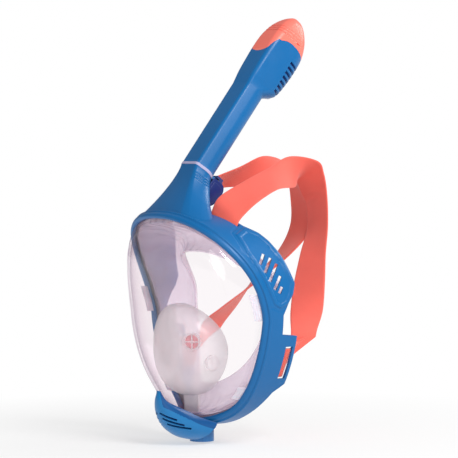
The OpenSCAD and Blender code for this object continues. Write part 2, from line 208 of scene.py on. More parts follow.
def block(name, centre, size, axes=(X_AXIS, (0, 1, 0), (0, 0, 1)), material=None):
    """A box on any three axes, for cutting and small trim."""
    square = ((-0.5, -0.5), (0.5, -0.5), (0.5, 0.5), (-0.5, 0.5))
    corners = [(x, y, z) for z in (-0.5, 0.5) for x, y in square]
    ax = np.array(axes, float)
    verts = [np.array(centre) + sum(c[k] * size[k] * ax[k] for k in range(3)) for c in corners]
    faces = [(3, 2, 1, 0), (4, 5, 6, 7), (0, 1, 5, 4), (1, 2, 6, 5), (2, 3, 7, 6), (3, 0, 4, 7)]
    return make(name, verts, faces, material or BLUE)


def tube_of(name, centre, axis, radius, length, material=None, sides=48):
    """A plain cylinder along an axis from its centre."""
    w = Vector(axis).normalized()
    u = w.orthogonal().normalized()
    v = w.cross(u)
    t = np.linspace(0, 2 * math.pi, sides, endpoint=False)
    ring = radius * (np.cos(t)[:, None] * np.array(u) + np.sin(t)[:, None] * np.array(v))
    ends = [np.array(centre) + ring + np.array(w) * s * length / 2 for s in (-1, 1)]
    return skin(name, ends, material or BLUE)


def combine(piece, others, how="DIFFERENCE", angle=38):
    """Cuts or joins the others, which go away, and applies it."""
    for other in others:
        mod = piece.modifiers.new("cut", "BOOLEAN")
        mod.operation, mod.object, mod.solver = how, other, "EXACT"
        select_only(piece)
        bpy.ops.object.modifier_apply(modifier=mod.name)
        mesh = other.data
        bpy.data.objects.remove(other)
        bpy.data.meshes.remove(mesh)
    shade(piece.data, angle)
    return piece


def apply_bevel(piece, width, angle=40, segments=2):
    mod = piece.modifiers.new("soft edges", "BEVEL")
    mod.width, mod.segments, mod.limit_method = width * MM, segments, "ANGLE"
    mod.angle_limit, mod.use_clamp_overlap = math.radians(angle), True
    select_only(piece)
    bpy.ops.object.modifier_apply(modifier=mod.name)
    shade(piece.data, 60)
    return piece


# ---------- materials ----------
def link(nt, a, b):
    nt.links.new(a, b)


def new_material(name):
    mat = bpy.data.materials.new(name)
    mat.use_nodes = True
    nt = mat.node_tree
    return mat, nt, nt.nodes["Principled BSDF"]


def add_bump(nt, shader, height, strength, distance):
    bump = nt.nodes.new("ShaderNodeBump")
    bump.inputs["Strength"].default_value = strength
    bump.inputs["Distance"].default_value = distance
    link(nt, height, bump.inputs["Height"])
    link(nt, bump.outputs[0], shader.inputs["Normal"])


def noise(nt, scale, detail):
    tex = nt.nodes.new("ShaderNodeTexNoise")
    place = nt.nodes.new("ShaderNodeTexCoord")
    tex.inputs["Scale"].default_value = scale
    tex.inputs["Detail"].default_value = detail
    link(nt, place.outputs["Object"], tex.inputs["Vector"])
    return tex.outputs["Fac"]


def ramp(nt, value, lo, hi):
    """Maps the middle of a noise value's range, 0.3 to 0.7, onto lo..hi."""
    node = nt.nodes.new("ShaderNodeMapRange")
    node.inputs["From Min"].default_value, node.inputs["From Max"].default_value = 0.3, 0.7
    node.inputs["To Min"].default_value, node.inputs["To Max"].default_value = lo, hi
    link(nt, value, node.inputs["Value"])
    return node.outputs[0]


def mix_colour(nt, value, a, b):
    node = nt.nodes.new("ShaderNodeMix")
    node.data_type = "RGBA"
    link(nt, value, node.inputs["Factor"])
    node.inputs["A"].default_value, node.inputs["B"].default_value = (*a, 1), (*b, 1)
    return node.outputs["Result"]


def plastic(name, colour, rough=0.34, grain=0.12, coat=0.05):
    """Moulded plastic: faint colour flow, uneven gloss, fine grain and paler edges, a painted highlight."""
    mat, nt, s = new_material(name)
    c = np.array(colour)
    flow = ramp(nt, noise(nt, 9, 2), 0, 1)
    body = mix_colour(nt, flow, c * 0.93, np.minimum(c * 1.07, 1))
    # Convex edges (high pointiness) are mixed towards a paler colour: a painted edge highlight.
    geo = nt.nodes.new("ShaderNodeNewGeometry")
    edge = nt.nodes.new("ShaderNodeMapRange")
    edge.inputs["From Min"].default_value, edge.inputs["From Max"].default_value = 0.53, 0.6
    edge.inputs["To Max"].default_value = 0.28
    link(nt, geo.outputs["Pointiness"], edge.inputs["Value"])
    edge_highlight = nt.nodes.new("ShaderNodeMix")
    edge_highlight.data_type = "RGBA"
    link(nt, edge.outputs[0], edge_highlight.inputs["Factor"])
    link(nt, body, edge_highlight.inputs["A"])
    edge_highlight.inputs["B"].default_value = (*np.minimum(c * 1.5 + 0.12, 1), 1)
    link(nt, edge_highlight.outputs["Result"], s.inputs["Base Color"])
    link(nt, ramp(nt, noise(nt, 60, 4), rough - 0.05, rough + 0.07), s.inputs["Roughness"])
    s.inputs["Specular IOR Level"].default_value = 0.32
    s.inputs["Coat Weight"].default_value = coat
    s.inputs["Coat Roughness"].default_value = 0.25
    add_bump(nt, s, noise(nt, 1400, 2), grain, 0.0001)
    return mat


def silicone(name, colour, clear, rough=0.3, milky=0.5, fold=0.08):
    """Thin translucent silicone: clear face on, denser where it turns away."""
    mat, nt, s = new_material(name)
    c = np.array(colour)
    link(nt, mix_colour(nt, ramp(nt, noise(nt, 40, 3), 0, 1), c * 0.94, np.minimum(c * 1.04, 1)),
         s.inputs["Base Color"])
    s.inputs["Roughness"].default_value = rough
    s.inputs["Subsurface Weight"].default_value = milky
    s.inputs["Subsurface Radius"].default_value = (0.006, 0.004, 0.004)
    folds = nt.nodes.new("ShaderNodeTexWave")
    place = nt.nodes.new("ShaderNodeTexCoord")
    link(nt, place.outputs["Object"], folds.inputs["Vector"])
    folds.inputs["Scale"].default_value = 22
    folds.inputs["Distortion"].default_value = 9
    folds.inputs["Detail"].default_value = 2
    add_bump(nt, s, folds.outputs["Fac"], fold, 0.002)
    facing = nt.nodes.new("ShaderNodeLayerWeight")
    facing.inputs["Blend"].default_value = 0.35
    amount = nt.nodes.new("ShaderNodeMapRange")
    amount.inputs["To Min"].default_value, amount.inputs["To Max"].default_value = clear
    link(nt, facing.outputs["Facing"], amount.inputs["Value"])
    through = nt.nodes.new("ShaderNodeBsdfTransparent")
    through.inputs["Color"].default_value = (*np.minimum(c * 1.1 + 0.05, 1), 1)
    mix = nt.nodes.new("ShaderNodeMixShader")
    link(nt, amount.outputs[0], mix.inputs[0])
    link(nt, s.outputs[0], mix.inputs[1])
    link(nt, through.outputs[0], mix.inputs[2])
    link(nt, mix.outputs[0], nt.nodes["Material Output"].inputs["Surface"])
    return mat


def clear_lens(name, tint):
    """Clear sheet: see-through, with reflections that grow and a tint that deepens at a slant."""
    mat, nt, s = new_material(name)
    nt.nodes.remove(s)
    facing = nt.nodes.new("ShaderNodeLayerWeight")
    facing.inputs["Blend"].default_value = 0.5
    slant = nt.nodes.new("ShaderNodeMath")
    slant.operation = "POWER"
    slant.inputs[1].default_value = 4.0
    link(nt, facing.outputs["Facing"], slant.inputs[0])
    through = nt.nodes.new("ShaderNodeBsdfTransparent")
    link(nt, mix_colour(nt, slant.outputs[0], tint, np.array(tint) * (0.8, 0.66, 0.78)),
         through.inputs["Color"])
    gloss = nt.nodes.new("ShaderNodeBsdfGlossy")
    gloss.inputs["Roughness"].default_value = 0.07
    shine = nt.nodes.new("ShaderNodeMapRange")
    shine.inputs["To Min"].default_value, shine.inputs["To Max"].default_value = 0.035, 0.6
    link(nt, slant.outputs[0], shine.inputs["Value"])
    add_bump(nt, gloss, noise(nt, 14, 2), 0.05, 0.001)
    mix = nt.nodes.new("ShaderNodeMixShader")
    link(nt, shine.outputs[0], mix.inputs[0])
    link(nt, through.outputs[0], mix.inputs[1])
    link(nt, gloss.outputs[0], mix.inputs[2])
    link(nt, mix.outputs[0], nt.nodes["Material Output"].inputs["Surface"])
    return mat


def webbing_material(name, colour):
    """Woven elastic: fine rows across and cords along, read from the strap's own lengths (UV in mm)."""
    mat, nt, s = new_material(name)
    c = np.array(colour)
    uv = nt.nodes.new("ShaderNodeUVMap")
    uv.uv_map = "strap"
    waves = []
    for direction, scale in (("X", 0.55), ("Y", 0.8)):
        wave = nt.nodes.new("ShaderNodeTexWave")
        wave.bands_direction = direction
        wave.inputs["Scale"].default_value = scale
        wave.inputs["Distortion"].default_value = 0.25
        wave.inputs["Detail Scale"].default_value = 2.0
        link(nt, uv.outputs[0], wave.inputs["Vector"])
        waves.append(wave.outputs["Fac"])
    weave = nt.nodes.new("ShaderNodeMath")
    weave.operation = "MULTIPLY"
    link(nt, waves[0], weave.inputs[0])
    link(nt, waves[1], weave.inputs[1])
    shadow = mix_colour(nt, weave.outputs[0], c * (0.9, 0.78, 0.76), np.minimum(c * 1.08, 1))
    cloud = nt.nodes.new("ShaderNodeMix")
    cloud.data_type = "RGBA"
    cloud.blend_type = "MULTIPLY"
    cloud.inputs["Factor"].default_value = 0.5
    link(nt, shadow, cloud.inputs["A"])
    patches = ramp(nt, noise(nt, 30, 3), 0, 1)
    link(nt, mix_colour(nt, patches, (0.9, 0.86, 0.86), (1, 1, 1)), cloud.inputs["B"])
    link(nt, cloud.outputs["Result"], s.inputs["Base Color"])
    s.inputs["Roughness"].default_value = 0.72
    s.inputs["Sheen Weight"].default_value = 0.35
    s.inputs["Sheen Roughness"].default_value = 0.4
    s.inputs["Sheen Tint"].default_value = (1, 0.8, 0.76, 1)
    s.inputs["Subsurface Weight"].default_value = 0.12
    s.inputs["Subsurface Radius"].default_value = (0.003, 0.0015, 0.001)
    add_bump(nt, s, weave.outputs[0], 0.5, 0.0005)
    return mat


def metal(name):
    mat, nt, s = new_material(name)
    s.inputs["Base Color"].default_value = (0.72, 0.72, 0.74, 1)
    s.inputs["Metallic"].default_value = 1
    link(nt, ramp(nt, noise(nt, 300, 3), 0.18, 0.34), s.inputs["Roughness"])
    return mat


BLUE = plastic("blue_shell", (0.002, 0.13, 0.37), 0.36)
SKY = plastic("light_blue_shell", (0.012, 0.2, 0.5), 0.34)
LIP = plastic("dark_lip", (0.001, 0.09, 0.3), 0.32)
NAVY = plastic("navy_plastic", (0.006, 0.02, 0.15), 0.38)
CORAL = plastic("coral_plastic", (1.0, 0.2, 0.15), 0.36)
GASKET = plastic("gasket_rubber", (0.36, 0.34, 0.52), 0.55, 0.2, 0)
WHITE = plastic("white_plastic", (0.8, 0.81, 0.83), 0.4)
SKIRT = silicone("skirt_silicone", (0.9, 0.82, 0.9), (0.72, 0.3), 0.22, 0.3, 0.5)
CUP = silicone("cup_silicone", (1.0, 0.92, 0.945), (0.6, 0.2), 0.25, 0.2)
CLIP = silicone("frosted_clip", (0.9, 0.85, 0.94), (0.4, 0.1), 0.2)
FLAP = silicone("flap_silicone", (1.0, 0.5, 0.54), (0.2, 0.05))
LENS = clear_lens("clear_lens", (0.992, 0.972, 0.98))
WEBBING = webbing_material("coral_webbing", (1.0, 0.165, 0.12))
STEEL = metal("steel")


# ---------- frame ----------
# Edge of the raised side panel, as (level, depth)
WING = [(84, -41), (79, -30), (72, -24), (60, -17), (45, -11), (35, -7), (25, -10), (16, -15), (12, -24),
        (16, -32), (40, -44), (62, -56), (78, -58)]


def inside(poly, x, y):
    """Signed distance into a polygon, positive inside."""
    p = np.array(poly, float)
    q = np.roll(p, -1, axis=0)
    best = np.full(np.shape(x), 1e9)
    odd = np.zeros(np.shape(x), bool)
    for (x0, y0), (x1, y1) in zip(p, q):
        t = np.clip(((x - x0) * (x1 - x0) + (y - y0) * (y1 - y0)) / ((x1 - x0) ** 2 + (y1 - y0) ** 2), 0, 1)
        best = np.minimum(best, np.hypot(x - x0 - t * (x1 - x0), y - y0 - t * (y1 - y0)))
        cross = (y0 > y) != (y1 > y)
        odd ^= cross & (x < (x1 - x0) * (y - y0) / ((y1 - y0) or 1e-9) + x0)
    return np.where(odd, best, -best)


def frame_stations():
    side = np.concatenate([np.arange(0, 24, 1.5), np.arange(24, 34, 0.75), np.arange(34, 104, 0.4),
                           np.arange(104, 112, 0.25), np.arange(112, 128, 1.0), np.arange(128, 142, 0.4),
                           np.arange(142, 180.1, 1.5)])
    return np.concatenate([side, 360 - side[1:-1][::-1]])


def frame_ring(a):
    f, b = float(rim_y(a)), float(back_y(a))
    front = rounded([(f + 0.2, 0, 0.3), (f + 0.2, 3, 0), (f + 5, 3, 0.4), (f + 6, WALL_IN, 0.5),
                     (b, WALL_IN, 0.9), (b, WALL_OUT, 1.1)])
    depth = np.linspace(b - 1.4, f + 7.5, 44)
    height = float(rim_z(a))
    within = inside(WING, height + 0 * depth, depth)
    raised = 1.3 * smooth(0, 1.4, within)
    raised -= 0.75 * smooth(3.6, 4.6, within)
    groove = 0.5 * np.exp(-((within + 2.6) / 0.6) ** 2) * (within < 0)
    raised -= groove * smooth(6, 14, height) * (height < 88)
    wall = list(zip(depth, WALL_OUT + raised))
    lip = rounded([(f + 4.2, 8.3, 0.8), (f + 1.3, 8.1, 0.8), (f + 0.9, 6.3, 0.7),
                   (f - 2.2, 5.5, 1.2), (f - 3.6, 3.2, 1.4), (f - 3.0, 0.8, 1.0), (f - 1, 0, 0.5)])
    outline = np.array(front + wall + lip)
    return rim_point(a, outline[:, 1], outline[:, 0])


def roof_z(x):
    return LEVEL + RISE * (1 - (np.abs(x) / HALF_W) ** 2.3) ** (1 / 2.3) + 6


SECTION_POINTS = 96


def d_section(a, front, rear, corner, back_r, flat=0.62):
    """Snorkel section in (across, back): flat front with rounded corners, broad round back."""
    c1 = np.array([a * flat, front + corner])
    c2 = np.array([a - back_r, rear - back_r])
    d = c2 - c1
    turn = math.atan2(d[1], d[0]) - math.acos(np.clip((corner - back_r) / np.hypot(*d), -1, 1))
    k = SECTION_POINTS // 4
    fore = [c1 + corner * np.array([math.cos(t), math.sin(t)]) for t in np.linspace(-math.pi / 2, turn, k)]
    aft = [c2 + back_r * np.array([math.cos(t), math.sin(t)]) for t in np.linspace(turn, math.pi / 2, k)]
    half = np.array(fore + aft)
    return np.concatenate([half, (half * (-1, 1))[::-1]])


TUBE = dict(a=17.0, front=-13.5, rear=13.5, corner=4.0, back_r=13.5)


def on_snorkel(across, back, s):
    return SEAM + across * np.array(X_AXIS) + back * BACK + s * ALONG


def tube_rings(stations):
    """The tube's own section at each (width scale, depth scale, distance above the seam)."""
    return [[on_snorkel(x * wide, n * deep, s) for x, n in d_section(**TUBE)] for wide, deep, s in stations]


GASKET_H = 3.0


def neck_ring(t):
    """Ring of the neck, from the rim's roof at t = 0 to just under the gasket at t = 1."""
    top2 = d_section(**TUBE)
    top = np.array([on_snorkel(x, n, -GASKET_H) for x, n in top2])
    ang = np.arctan2(top2[:, 1] / TUBE["rear"], top2[:, 0] / TUBE["a"])
    c, s = pw(np.cos(ang), 0.85), pw(np.sin(ang), 0.85)
    base = np.stack([56 * c, -77 + 19.5 * s, roof_z(56 * c)], 1)
    f, g = (1 - t) ** 1.6, (1 - t) ** 1.2
    ring = np.stack([top[:, 0] + (base[:, 0] - top[:, 0]) * f,
                     top[:, 1] + (base[:, 1] - top[:, 1]) * g,
                     base[:, 2] + (top[:, 2] - base[:, 2]) * t], 1)
    ripple = sum(np.exp(-((t - 0.77 - 0.05 * k) / 0.011) ** 2) for k in range(3))
    where = smooth(4, 9, np.abs(top2[:, 0])) * smooth(7, 2, top2[:, 1]) * smooth(-13.4, -9, top2[:, 1])
    return ring + (0.75 * ripple * where * np.sign(top2[:, 0]))[:, None] * (1, 0, 0)


# Side vents: [depth, level, length]
VENTS = [(-41, 60, 11), (-34.5, 54, 16), (-28.5, 47, 19), (-24, 37, 15), (-20.5, 30, 7)]
VENT_W = 3.6


def vent_cutters():
    slope, sweep = math.radians(-30), math.radians(-26)
    cut = []
    for side in (-1, 1):
        through = np.array([side * math.cos(sweep), math.sin(sweep), 0])
        along = np.array([0, -math.sin(slope), math.cos(slope)])
        across = np.cross(along, through)
        cut += [block("cut", (side * 95, y, z), (44, VENT_W, length), (through, across, along))
                for y, z, length in VENTS]
    return cut


def slot_cutters():
    """The upper strap slot and the lower lug's slot, on each side."""
    tilt, yaw = math.radians(27), math.radians(18)
    x = np.array([math.cos(tilt) * math.cos(yaw), math.sin(yaw), -math.sin(tilt) * math.cos(yaw)])
    z = np.array([math.sin(tilt), 0, math.cos(tilt)])
    y = np.cross(z, x)
    cut = []
    for side in (-1, 1):
        flip = np.array([side, 1, 1])
        cut.append(block("cut", flip * (44.5, -51.2, 97), (38, 5, 20), (x * flip, y * flip, z * flip)))
        cut.append(block("cut", (side * 80, -7.75, -42), (40, 8.5, 32)))
    return cut


def build_frame():
    rings = [frame_ring(a) for a in frame_stations()]
    shell = skin("frame_shell", rings, BLUE, looped=True)
    heights = np.concatenate([np.linspace(0, 0.72, 26), np.linspace(0.725, 0.93, 52),
                              np.linspace(0.94, 1, 5)])
    neck = skin("neck", [neck_ring(t) for t in heights], BLUE)
    combine(shell, [neck], "UNION")
    bore = skin("cut", tube_rings([(0.84, 0.8, s) for s in (-14, 6)]), BLUE)
    combine(shell, [bore] + vent_cutters() + slot_cutters())
    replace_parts(shell, "frame")
    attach(shell, "mask")


build_frame()


# ---------- lens ----------
def dome_point(side, front, k, e):
    """Points a share k of the way from the front point to each side point, on a dome of fullness e."""
    t = math.radians(90 * (1 - k))
    s, c = math.sin(t) ** np.asarray(e), abs(math.cos(t)) ** np.asarray(e)
    x = front[0] + (side[:, 0] - front[0]) * s
    y = side[:, 1] * (1 - c) + front[1] * c
    z = front[2] + (side[:, 2] - front[2]) * s
    return np.stack([x, y, z], 1)


LENS_WALL = 2.5
LENS_FRONT = np.array([0, -REACH, LEVEL - 8])


def crease(ring, k, a):
    """The soft moulded ridge between the lens's front pane and its side panes."""
    lift = 0.55 * np.exp(-((k - 0.333) / 0.006) ** 2) * np.abs(sind(a)) ** 0.5
    nx, nz = rim_out(a)
    return ring + lift[:, None] * np.stack([nx, -0.5 + 0 * a, nz], 1)


def build_clips():
    """Small frosted clips that hold the lens at its rim."""
    for a0, a1 in ((86, 100), (137, 146), (260, 274), (214, 223)):
        rings = []
        for a in np.linspace(a0, a1, 12):
            f = float(rim_y(a))
            outline = np.array([(f - 2.8, -0.5), (f - 11, -1.6), (f - 11.5, -1), (f - 8.5, 0), (f - 7.4, 0),
                                (f - 6.8, 0.6), (f - 2.8, 1.2)])
            rings.append(rim_point(a, outline[:, 1], outline[:, 0]))
        clip = apply_bevel(skin(f"lens_clip_{a0}", rings, CLIP), 0.25)
        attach(clip, "mask")


def build_lens():
    a = np.linspace(0, 360, 240, endpoint=False)
    f = rim_y(a)
    steps = np.concatenate([np.linspace(0, 0.31, 18), [0.32, 0.328, 0.333, 0.338, 0.346],
                            np.linspace(0.356, 0.985, 34)])
    outer, inner = rim_point(a, -0.6, f), rim_point(a, -0.6 - LENS_WALL, f + 0.8)
    rings = [crease(dome_point(outer, LENS_FRONT, k, 0.87), k, a) for k in steps[::-1]]
    rings += [rim_point(a, -0.6, f + 0.4), rim_point(a, 2.6, f + 0.4), rim_point(a, 2.6, f + 2.4),
              rim_point(a, -0.6 - LENS_WALL, f + 2.4)]
    rings += [dome_point(inner, LENS_FRONT + (0, LENS_WALL, 0), k, 0.87) for k in steps]
    lens = skin("lens_shell", rings, LENS, angle=45)
    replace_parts(lens, "lens")
    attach(lens, "mask")


build_lens()
build_clips()


# ---------- silicone ----------
SKIRT_T = 1.8


def build_skirt():
    rings = []
    for t in np.arange(0, 360, 1.5):
        f, s = float(rim_y(t)), float(seal_y(t))
        path = [(f + 3.7, 2.4), (f + 3.7, -4), (f + 8.5, -4.8), ((f + 8.5 + s) / 2, -8), (s - 5, -13),
                (s - 1.2, -20), (s - 3, -27), (s - 9, -33)]
        fine = np.concatenate([np.array(path[:3]), spline_path(path[2:], 6)[1:]])
        outline = band_outline(fine, SKIRT_T)
        rings.append(rim_point(t, outline[:, 1], outline[:, 0]))
    skirt = skin("face_skirt_skin", rings, SKIRT, looped=True, angle=60)
    combine(skirt, [tube_of("cut", (0, -66, 90), (0, 0, 1), 10, 20)], angle=60)
    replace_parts(skirt, "face_skirt")
    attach(skirt, "mask")


CUP_FRONT = np.array([0, -91, -32])
CUP_T = 2
# Valves in the cup's wall: (centre, heading in degrees, seat radius)
INHALE = ((31, -79, -22), -49, 9)
EXHALE = ((41.5, -62, -43), -14, 7.4)


def heading(valve, side):
    return np.array([side * cosd(valve[1]), sind(valve[1]), 0])


def build_cup():
    a = np.linspace(0, 360, 160, endpoint=False)
    steps = np.linspace(0, 0.985, 40)

    def side(inset):
        y = -44 - 24 * np.maximum(0, cosd(a)) ** 2 - 10 * np.maximum(0, -cosd(a)) ** 2
        return np.stack([(43 - inset) * sind(a), y, CUP_FRONT[2] + (46 - inset) * cosd(a)], 1)

    full = 0.77 - 0.2 * np.maximum(0, cosd(a)) ** 2
    rings = [dome_point(side(0), CUP_FRONT, k, full) for k in steps[::-1]]
    rings += [dome_point(side(CUP_T), CUP_FRONT + (0, CUP_T, 0), k, full) for k in steps]
    cup = skin("nose_cup_skin", rings, CUP, angle=60)
    tongue = block("tongue", (0, -56.8, -85.3), (24, 2.4, 17))
    combine(cup, [tongue], "UNION", 60)
    cutters = []
    for s in (-1, 1):
        for v in (INHALE, EXHALE):
            place = np.array(v[0]) * (s, 1, 1) + heading(v, s)
            cutters.append(tube_of("cut", place, heading(v, s), v[2] + 0.2, 20))
    combine(cup, cutters, angle=60)
    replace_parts(cup, "nose_cup")
    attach(cup, "mask")


build_skirt()
build_cup()

# ---------- chin cover ----------
# Down the beak: middle (depth, level), half-width, and the side edge's (depth, level)
CHIN_ROWS = [(-97.5, -71.5, 2.5, -96.5, -71.5), (-99.5, -79, 8, -93, -80.5), (-98.5, -90, 15, -84, -86.5),
             (-93.5, -102, 21, -75, -91.5), (-84.5, -111.5, 27, -66.5, -96.5),
             (-72.5, -118.5, 31.5, -58, -100), (-59.5, -121.8, 34.5, -50.8, -102.8)]


# Louvres on the left, from start to end
LOUVRES = [((2, -97.5, -93), (14, -84, -98.5)), ((3, -94.5, -98), (18, -78, -104)),
           ((5, -90, -103.5), (22, -73, -108))]
LOUVRE_W = 2.3
CHIN_T = 2.4


def chin_surface(row, v, t, inward):
    """One row of the beak, from side to side over the angles v, set in by t."""
    f = 1 - np.cos(v)
    return np.stack([(row[2] - t * 0.8) * np.sin(v),
                     row[0] + (row[3] - row[0]) * f + inward[0] * t * np.cos(v),
                     row[1] + (row[4] - row[1]) * f + inward[1] * t * np.cos(v)], 1)


def louvre_cutters():
    cutters = []
    for side in (-1, 1):
        for start, end in LOUVRES:
            a, b = (np.array(q) * (side, 1, 1) for q in (start, end))
            length = np.linalg.norm(b - a)
            along = (b - a) / length
            out = np.array([side * 0.62, -0.7, -0.36])
            up = np.cross(along, out)
            up /= np.linalg.norm(up)
            cutters.append(block("cut", (a + b) / 2 + out * 1.5, (length, 8, LOUVRE_W),
                                 (along, np.cross(up, along), up)))
    return cutters


def build_chin():
    rows = spline_path(CHIN_ROWS, 12)
    d = np.gradient(rows[:, :2], axis=0)
    d /= np.hypot(d[:, 0], d[:, 1])[:, None]
    v = np.radians(np.linspace(-90, 90, 73))
    rings = []
    for row, (dy, dz) in zip(rows, d):
        inward = (-dz, dy)
        bead = 1.1 * smooth(1.15, 1.45, np.abs(v)) * smooth(1.62, 1.5, np.abs(v))
        outer = chin_surface(row, v, 0, inward)
        outer[:, 1] -= inward[0] * bead
        outer[:, 2] -= inward[1] * bead
        rings.append(np.concatenate([outer, chin_surface(row, v[::-1], CHIN_T, inward)]))
    chin = skin("chin_cover_shell", rings, SKY)
    combine(chin, louvre_cutters())
    chin.data.materials.append(LIP)
    for face in chin.data.polygons:
        x, y, z = face.center / MM
        row = rows[np.argmin(np.hypot(rows[:, 3] - y, rows[:, 4] - z))]
        if abs(x) > 0.87 * row[2] and np.hypot(row[3] - y, row[4] - z) < 7:
            face.material_index = 1
    inner = []
    for row, (dy, dz) in zip(rows[10:-14], d[10:-14]):
        inner.append(np.concatenate([chin_surface(row, v[12:-12], 3.2, (-dz, dy)),
                                     chin_surface(row, v[::-1][12:-12], 4.2, (-dz, dy))]))
    liner = skin("chin_liner", inner, NAVY)
    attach(liner, "mask")
    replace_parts(chin, "chin_cover")
    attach(chin, "mask")


build_chin()


# ---------- latch guard ----------
def build_latch_guard():
    """Rounded navy plates that shroud the latch on both sides of the neck."""
    outline = rounded([(10, -1.5, 3), (24, -1.5, 5), (27.6, -7, 4), (27.6, -17, 5), (24, -28, 5),
                       (13, -31, 6), (9, -20, 3)], 8)
    mid = np.mean(outline, axis=0)
    for side in (-1, 1):
        for level, grow, thick in ((16.2, 1.0, 1.6), (17.6, 0.74, 0.7)):
            shape = [mid + (q - mid) * grow for q in outline]
            rings = [[on_snorkel(side * (level + dx), n, s) for n, s in shape] for dx in (0, thick)]
            plate = apply_bevel(skin(f"latch_guard_{side}_{thick}", rings, NAVY), 0.35)
            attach(plate, "mask")


build_latch_guard()

# ---------- snorkel ----------
# Up the head: distance above the seam, then half-width, front, rear, corner radius, back radius, flat share
HEAD = [(100, 17, -13.5, 13.5, 4, 13.5, 0.62), (103, 17.2, -13.9, 16.5, 4.1, 13.2, 0.62),
        (108, 17.7, -14.5, 22.5, 4.3, 13.4, 0.61), (114, 18.5, -15.1, 25.8, 4.6, 14, 0.6),
        (128, 19.4, -15.8, 27.8, 5.2, 14.8, 0.58), (146, 20, -16.3, 28.5, 6, 15.4, 0.55),
        (160, 19.7, -16, 27.5, 7.4, 15.4, 0.5), (172, 17.8, -14.2, 24, 9, 14.6, 0.42),
        (180, 15, -11.4, 19.8, 9, 12.6, 0.34), (186, 11.6, -8, 15.6, 7.6, 10, 0.3),
        (190, 8.1, -4.8, 12, 5.6, 7.2, 0.28), (192.3, 4.8, -1.9, 8.6, 3.4, 4.3, 0.27),
        (193.2, 1.8, 0.9, 5.4, 1.4, 1.6, 0.2)]


GROOVE_TOP, GROOVE_PITCH, GROOVE_DEPTH = 173.6, 3.3, 0.75


def head_rings(inset=0.0):
    """Rings of the head, with the cap's three grip grooves when they aren't inset."""
    rows = spline_path(HEAD, 40)
    s = np.concatenate([np.arange(100, 164, 0.75), np.arange(164, 176, 0.3), np.arange(176, 186, 0.75),
                        np.arange(186, 193, 0.35), [193.2]])
    rings = []
    for at in s:
        r = [np.interp(at, rows[:, 0], rows[:, k]) for k in range(1, 7)]
        sec = d_section(max(r[0] - inset, 0.5), r[1] + inset, r[2] - inset, max(r[3] - inset / 2, 0.3),
                        max(r[4] - inset, 0.3), r[5])
        if not inset:
            n = sec[:, 1]
            depth = np.zeros(len(sec))
            for k in range(3):
                line = at - (GROOVE_TOP - GROOVE_PITCH * k)
                depth += GROOVE_DEPTH * np.exp(-(line / 0.5) ** 2) * smooth(8, 3, n)
            size = np.hypot(sec[:, 0], n - 4)[:, None]
            sec = sec - (sec - (0, 4)) / size * depth[:, None]
        rings.append([on_snorkel(x, n, at) for x, n in sec])
    return rings


def cap_prism(grow):
    """Everything above the curved joint between the head and its cap, lowered by grow."""
    rows = spline_path([(-24, 136.5), (-17, 138), (-14.5, 146), (-9, 157), (2, 162), (18, 160), (30, 156),
                        (40, 153)], 8)
    rings = []
    for x in np.linspace(-24, 24, 33):
        n, s = rows[:, 0], rows[:, 1] - grow + 6 * min(abs(x) / 17, 1) ** 2 * smooth(-8, -14, rows[:, 0])
        edge = [(-24, 250)] + list(zip(n, s)) + [(40, 250)]
        rings.append([on_snorkel(x, n, s) for n, s in edge])
    return skin("prism", rings, BLUE)


def head_between(inset, low, high=250):
    """The head's rings between two distances above the seam."""
    return [r for r in head_rings(inset) if low < np.dot(r[0] - SEAM, ALONG) < high]


HEAD_WALL = 2.4


def build_snorkel():
    body = tube_rings([(1, 1, s) for s in np.arange(0, 100, 4.0)])
    tube = skin("snorkel_shell", body + head_rings(), BLUE)
    combine(tube, [cap_prism(0.25)])
    spigot = skin("spigot", tube_rings([(0.81, 0.76, s) for s in (-13.8, 1)]), BLUE)
    catch = block("catch", on_snorkel(0, 14.5, 1.7), (14, 5, 2.6), SNORKEL_AXES)
    combine(tube, [spigot, catch], "UNION")
    bore_steps = ((0.66, -18), (0.66, 0), (0.85, 4), (0.85, 105))
    bore = skin("cut", tube_rings([(g, g, s) for g, s in bore_steps]), BLUE)
    chamber = skin("cut", head_between(HEAD_WALL, 108), BLUE)
    slots = [block("cut", on_snorkel(0, 24.6 - 0.4 * k, 112.6 + 5.5 * k), (44, 20, 3.1), SNORKEL_AXES)
             for k in range(7)]
    combine(tube, [bore, chamber] + slots)
    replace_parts(tube, "snorkel_tube")
    cap = skin("top_cap_shell", head_rings(), CORAL)
    combine(cap, [cap_prism(0)], "INTERSECT")
    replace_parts(cap, "top_cap")
    notches = [block("cut", on_snorkel(18.4 * x, 8.9, 166.5), (3, 4.2, 0.9), SNORKEL_AXES) for x in (-1, 1)]
    combine(cap, [skin("cut", head_rings(HEAD_WALL), BLUE)] + notches)
    grille = skin("vent_grille_strip", head_between(2.5, 109.5, 151), NAVY)
    front_half = block("cut", on_snorkel(0, -9, 130), (60, 42, 60), SNORKEL_AXES)
    combine(grille, [skin("cut", head_rings(3.3), BLUE), front_half])
    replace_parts(grille, "vent_grille")
    for piece, name in ((tube, "blue_shell"), (cap, "coral_plastic"), (grille, "navy_plastic")):
        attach(piece, "snorkel")


build_snorkel()

